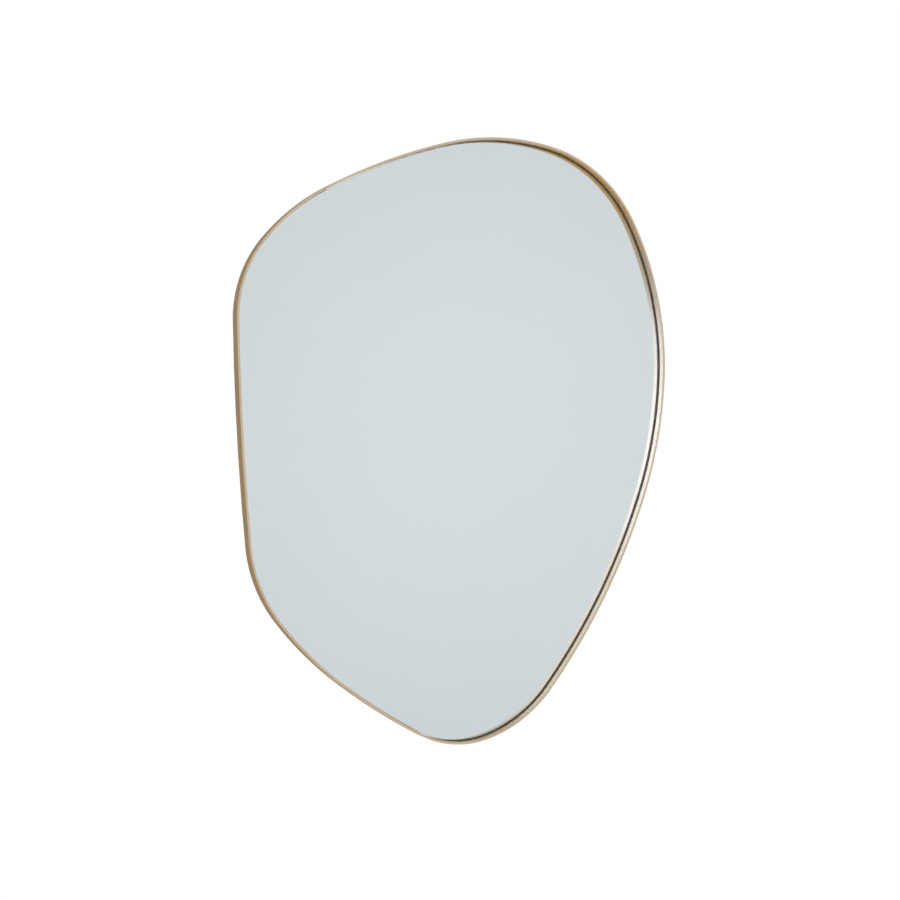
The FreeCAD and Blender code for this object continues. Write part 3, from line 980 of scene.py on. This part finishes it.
makeHangerScrews()
for sideName, side in (("left", -0.5), ("right", 0.5)):
    refinish("hanger_strap_" + sideName, zincStrip)
    makeRing(sideName, side * hanger["spacing"])
print("D rings hung")


# Rubber bumpers stuck to the board
bumper = {
    "radius": 10.0 * mm, "baseEase": 0.3 * mm, "sides": 48,
    "rim": 1.5 * mm, "rimSteps": 6,
    "seamAt": 0.35, "seamHalf": 0.12 * mm, "seamDepth": 0.1 * mm,
    "dimple": 2.6 * mm, "dimpleDepth": 0.7 * mm, "dimpleWall": 0.7, "dimpleFloor": 0.35}


def makeBumper(cornerName):
    node = "bumper_" + cornerName
    low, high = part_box(node)
    radius = bumper["radius"]
    rim = bumper["rim"]
    base = low.y
    tip = high.y
    ease = bumper["baseEase"]
    seam = base + bumper["seamAt"] * (tip - base)
    half = bumper["seamHalf"]
    wall = bumper["dimpleWall"]
    sunk = tip - bumper["dimpleDepth"]
    profile = [(0.0, base), (radius - ease, base), (radius, base + ease)]
    profile += [(radius, seam - half), (radius - bumper["seamDepth"], seam), (radius, seam + half)]
    profile += arcPoints(radius - rim, tip - rim, rim, 0.0, 90.0, bumper["rimSteps"])
    profile += [(bumper["dimple"], tip), (wall * bumper["dimple"], tip - wall * bumper["dimpleDepth"])]
    profile += [(bumper["dimpleFloor"] * bumper["dimple"], sunk), (0.0, sunk)]
    bm = bmesh.new()
    turnProfile(bm, profile, bumper["sides"])
    middle = (low + high) / 2
    bmesh.ops.translate(bm, vec=(middle.x, 0.0, middle.z), verts=bm.verts)
    bmesh.ops.recalc_face_normals(bm, faces=bm.faces)
    newPiece(node + "_moulded", bm, "root", [node], [bumperRubber])


for cornerName in ("upper_left", "upper_right", "lower_left", "lower_right"):
    makeBumper(cornerName)
print("bumpers stuck on")


# Camera, light and floor
cameraSetup = {
    "target": (-0.0288, -0.0315, -0.2544),
    "distance": 2.7,
    "leftOfNormal": 24.57,
    "lens": 60.99,
    "sensor": 36.0,
}


def makeCamera():
    data = bpy.data.cameras.new("camera")
    data.lens = cameraSetup["lens"]
    data.sensor_width = cameraSetup["sensor"]
    camera = bpy.data.objects.new("camera", data)
    scene.collection.objects.link(camera)
    angle = math.radians(cameraSetup["leftOfNormal"])
    back = Vector((-math.sin(angle), -math.cos(angle), 0.0))
    camera.location = Vector(cameraSetup["target"]) + cameraSetup["distance"] * back
    camera.rotation_euler = (-back).to_track_quat("-Z", "Y").to_euler()
    scene.camera = camera


# Tones are what metal and glass show. A span is where a tone starts to show and where it is full:
# along Y or Z of the direction, or as the cosine of the angle to the place that it stands round.
studio = {
    "room": 0.7,                           # what lights matt surfaces
    "front": (0.83, 0.83, 0.83),
    "brightest": (0.427, -0.904, 0.02),
    "brightestSpan": (0.96, 1.0),
    "aside": (0.66, 0.66, 0.66),
    "below": (0.68, 0.46, 0.21),
    "belowSpan": (-0.22, -0.42),
    "behind": (0.37, 0.30, 0.215),         # on the side of the wall
    "behindSpan": (-0.35, 0.75),
    "window": (-0.505, -0.85, 0.14),       # where the inner walls see the soft window, by way of the pane
    "windowGlow": (2.3, 2.5, 3.3),
    "windowSpan": (0.960, 0.976),
    "overhead": (-0.35, -0.75, 0.56),
    "overheadGlow": (1.5, 1.55, 1.65),
    "overheadSpan": (0.86, 0.96),
    "secondSight": 0.72,                   # how much of them the walls' image in the pane still shows
    "edgeDark": (0.16, 0.13, 0.10),        # what reaches the pane's ground edge from above
    "edgeBright": (1.15, 1.12, 1.08),      # and from the pale floor
    "edgeSpan": (0.2, -0.4),
}


def makeWorld():
    world = bpy.data.worlds.new("studio")
    scene.world = world
    world.use_nodes = True
    tree = world.node_tree
    tree.nodes.clear()
    ray = addNode(tree, "LightPath").outputs
    direction = addNode(tree, "TexCoord").outputs["Generated"]
    split = addNode(tree, "SeparateXYZ", {}, {"Vector": direction}).outputs

    def toward(way, shape="SMOOTHSTEP"):
        likeness = addNode(tree, "VectorMath", {"operation": "DOT_PRODUCT"}, {0: direction, 1: studio[way]})
        return addRamp(tree, likeness.outputs["Value"], *studio[way + "Span"], shape=shape)

    tone = mixColour(tree, toward("brightest", "LINEAR"), studio["aside"], studio["front"])
    # the warm tone below is for the brass: a pane that is looked into stays pale all over
    lookedInto = addMath(tree, "MULTIPLY", ray["Is Transmission Ray"], addMath(
        tree, "LESS_THAN", ray["Glossy Depth"], 1.5))
    below = addRamp(tree, split["Z"], *studio["belowSpan"])
    below = addMath(tree, "MULTIPLY", below, addMath(tree, "SUBTRACT", 1.0, lookedInto))
    tone = mixColour(tree, below, tone, studio["below"])
    behind = addRamp(tree, split["Y"], *studio["behindSpan"])
    tone = mixColour(tree, behind, tone, studio["behind"])
    # what the brass sees by way of the pane: the soft window and the light above it
    byPane = addMath(tree, "GREATER_THAN", ray["Glossy Depth"], 1.5)
    share = spread(tree, ray["Is Glossy Ray"], low=1.0, high=studio["secondSight"])
    byPane = addMath(tree, "MULTIPLY", byPane, share)
    for way in ("overhead", "window"):
        seen = addMath(tree, "MULTIPLY", toward(way), byPane)
        tone = mixColour(tree, seen, tone, studio[way + "Glow"])
    # the pane's edge, which is lit and seen through the glass
    throughGlass = addMath(tree, "MULTIPLY", ray["Is Transmission Ray"], addMath(
        tree, "GREATER_THAN", ray["Diffuse Depth"], 0.5))
    low = addRamp(tree, split["Z"], *studio["edgeSpan"])
    edgeLight = mixColour(tree, low, studio["edgeDark"], studio["edgeBright"])
    tone = mixColour(tree, throughGlass, tone, edgeLight)
    white = (1.0, 1.0, 1.0, 1.0)
    gloss = addNode(tree, "Background", {}, {"Color": tone}).outputs[0]
    matt = addNode(tree, "Background", {}, {"Color": white, "Strength": studio["room"]}).outputs[0]
    seenWhite = addNode(tree, "Background", {}, {"Color": white}).outputs[0]
    shiny = addMath(tree, "MAXIMUM", ray["Is Glossy Ray"], ray["Is Transmission Ray"])
    first = addNode(tree, "MixShader", {}, {"Fac": shiny, 1: matt, 2: gloss}).outputs[0]
    last = addNode(tree, "MixShader", {}, {"Fac": ray["Is Camera Ray"], 1: first, 2: seenWhite})
    addNode(tree, "OutputWorld", {}, {"Surface": last.outputs[0]})


# Soft lamps aimed at the mirror. In the lacquered brass the key lamp would only make specks.
lamps = {
    "target": (0.0, 0.0, -0.235),
    "size": 1.6,
    "keyLamp": {"spot": (-2.2, -2.6, 1.4), "watts": 60.0, "inMetal": False},
    "rearLamp": {"spot": (1.6, 2.4, 1.2), "watts": 50.0, "inMetal": True},
}


def makeLamp(name):
    given = lamps[name]
    data = bpy.data.lights.new(name, "AREA")
    data.shape = "DISK"
    data.size = lamps["size"]
    data.energy = given["watts"]
    lamp = bpy.data.objects.new(name, data)
    scene.collection.objects.link(lamp)
    lamp.location = given["spot"]
    aim = Vector(lamps["target"]) - Vector(given["spot"])
    lamp.rotation_euler = aim.to_track_quat("-Z", "Y").to_euler()
    lamp.visible_camera = False
    lamp.visible_transmission = False
    lamp.visible_glossy = given["inMetal"]


floor = {
    "drop": 0.9, "radius": 2.0, "solid": 0.7, "faded": 0.98, "sides": 96,
    "tones": ((0.87, 0.87, 0.865), (0.89, 0.89, 0.885))}


def makeFloor():
    # pale, and fading out to the white round it
    bm = bmesh.new()
    bmesh.ops.create_circle(bm, cap_ends=True, segments=floor["sides"], radius=floor["radius"])
    bmesh.ops.translate(bm, vec=(0.0, frontY, cadLow.z - floor["drop"]), verts=bm.verts)
    mesh = bpy.data.meshes.new("floor")
    bm.to_mesh(mesh)
    bm.free()
    piece = bpy.data.objects.new("floor", mesh)
    scene.collection.objects.link(piece)
    paleFloor, tree, shader = startMaterial("paleFloor", {"Roughness": 0.7})
    place = objectPlace(tree)
    cloud = useGroup(tree, mottle, {"Vector": place, "Size": 0.6})
    setSocket(tree, shader["Base Color"], mixColour(tree, cloud["Broad"], *floor["tones"]))
    level = addNode(tree, "VectorMath", {"operation": "MULTIPLY"}, {0: place, 1: (1.0, 1.0, 0.0)})
    away = addNode(tree, "VectorMath", {"operation": "LENGTH"}, {0: level.outputs["Vector"]})
    setSocket(tree, shader["Alpha"], addRamp(
        tree, away.outputs["Value"], floor["faded"] * floor["radius"], floor["solid"]))
    mesh.materials.append(paleFloor)


makeCamera()
makeWorld()
makeLamp("keyLamp")
makeLamp("rearLamp")
makeFloor()
scene.view_settings.view_transform = "Standard"
print("camera, light and floor set")
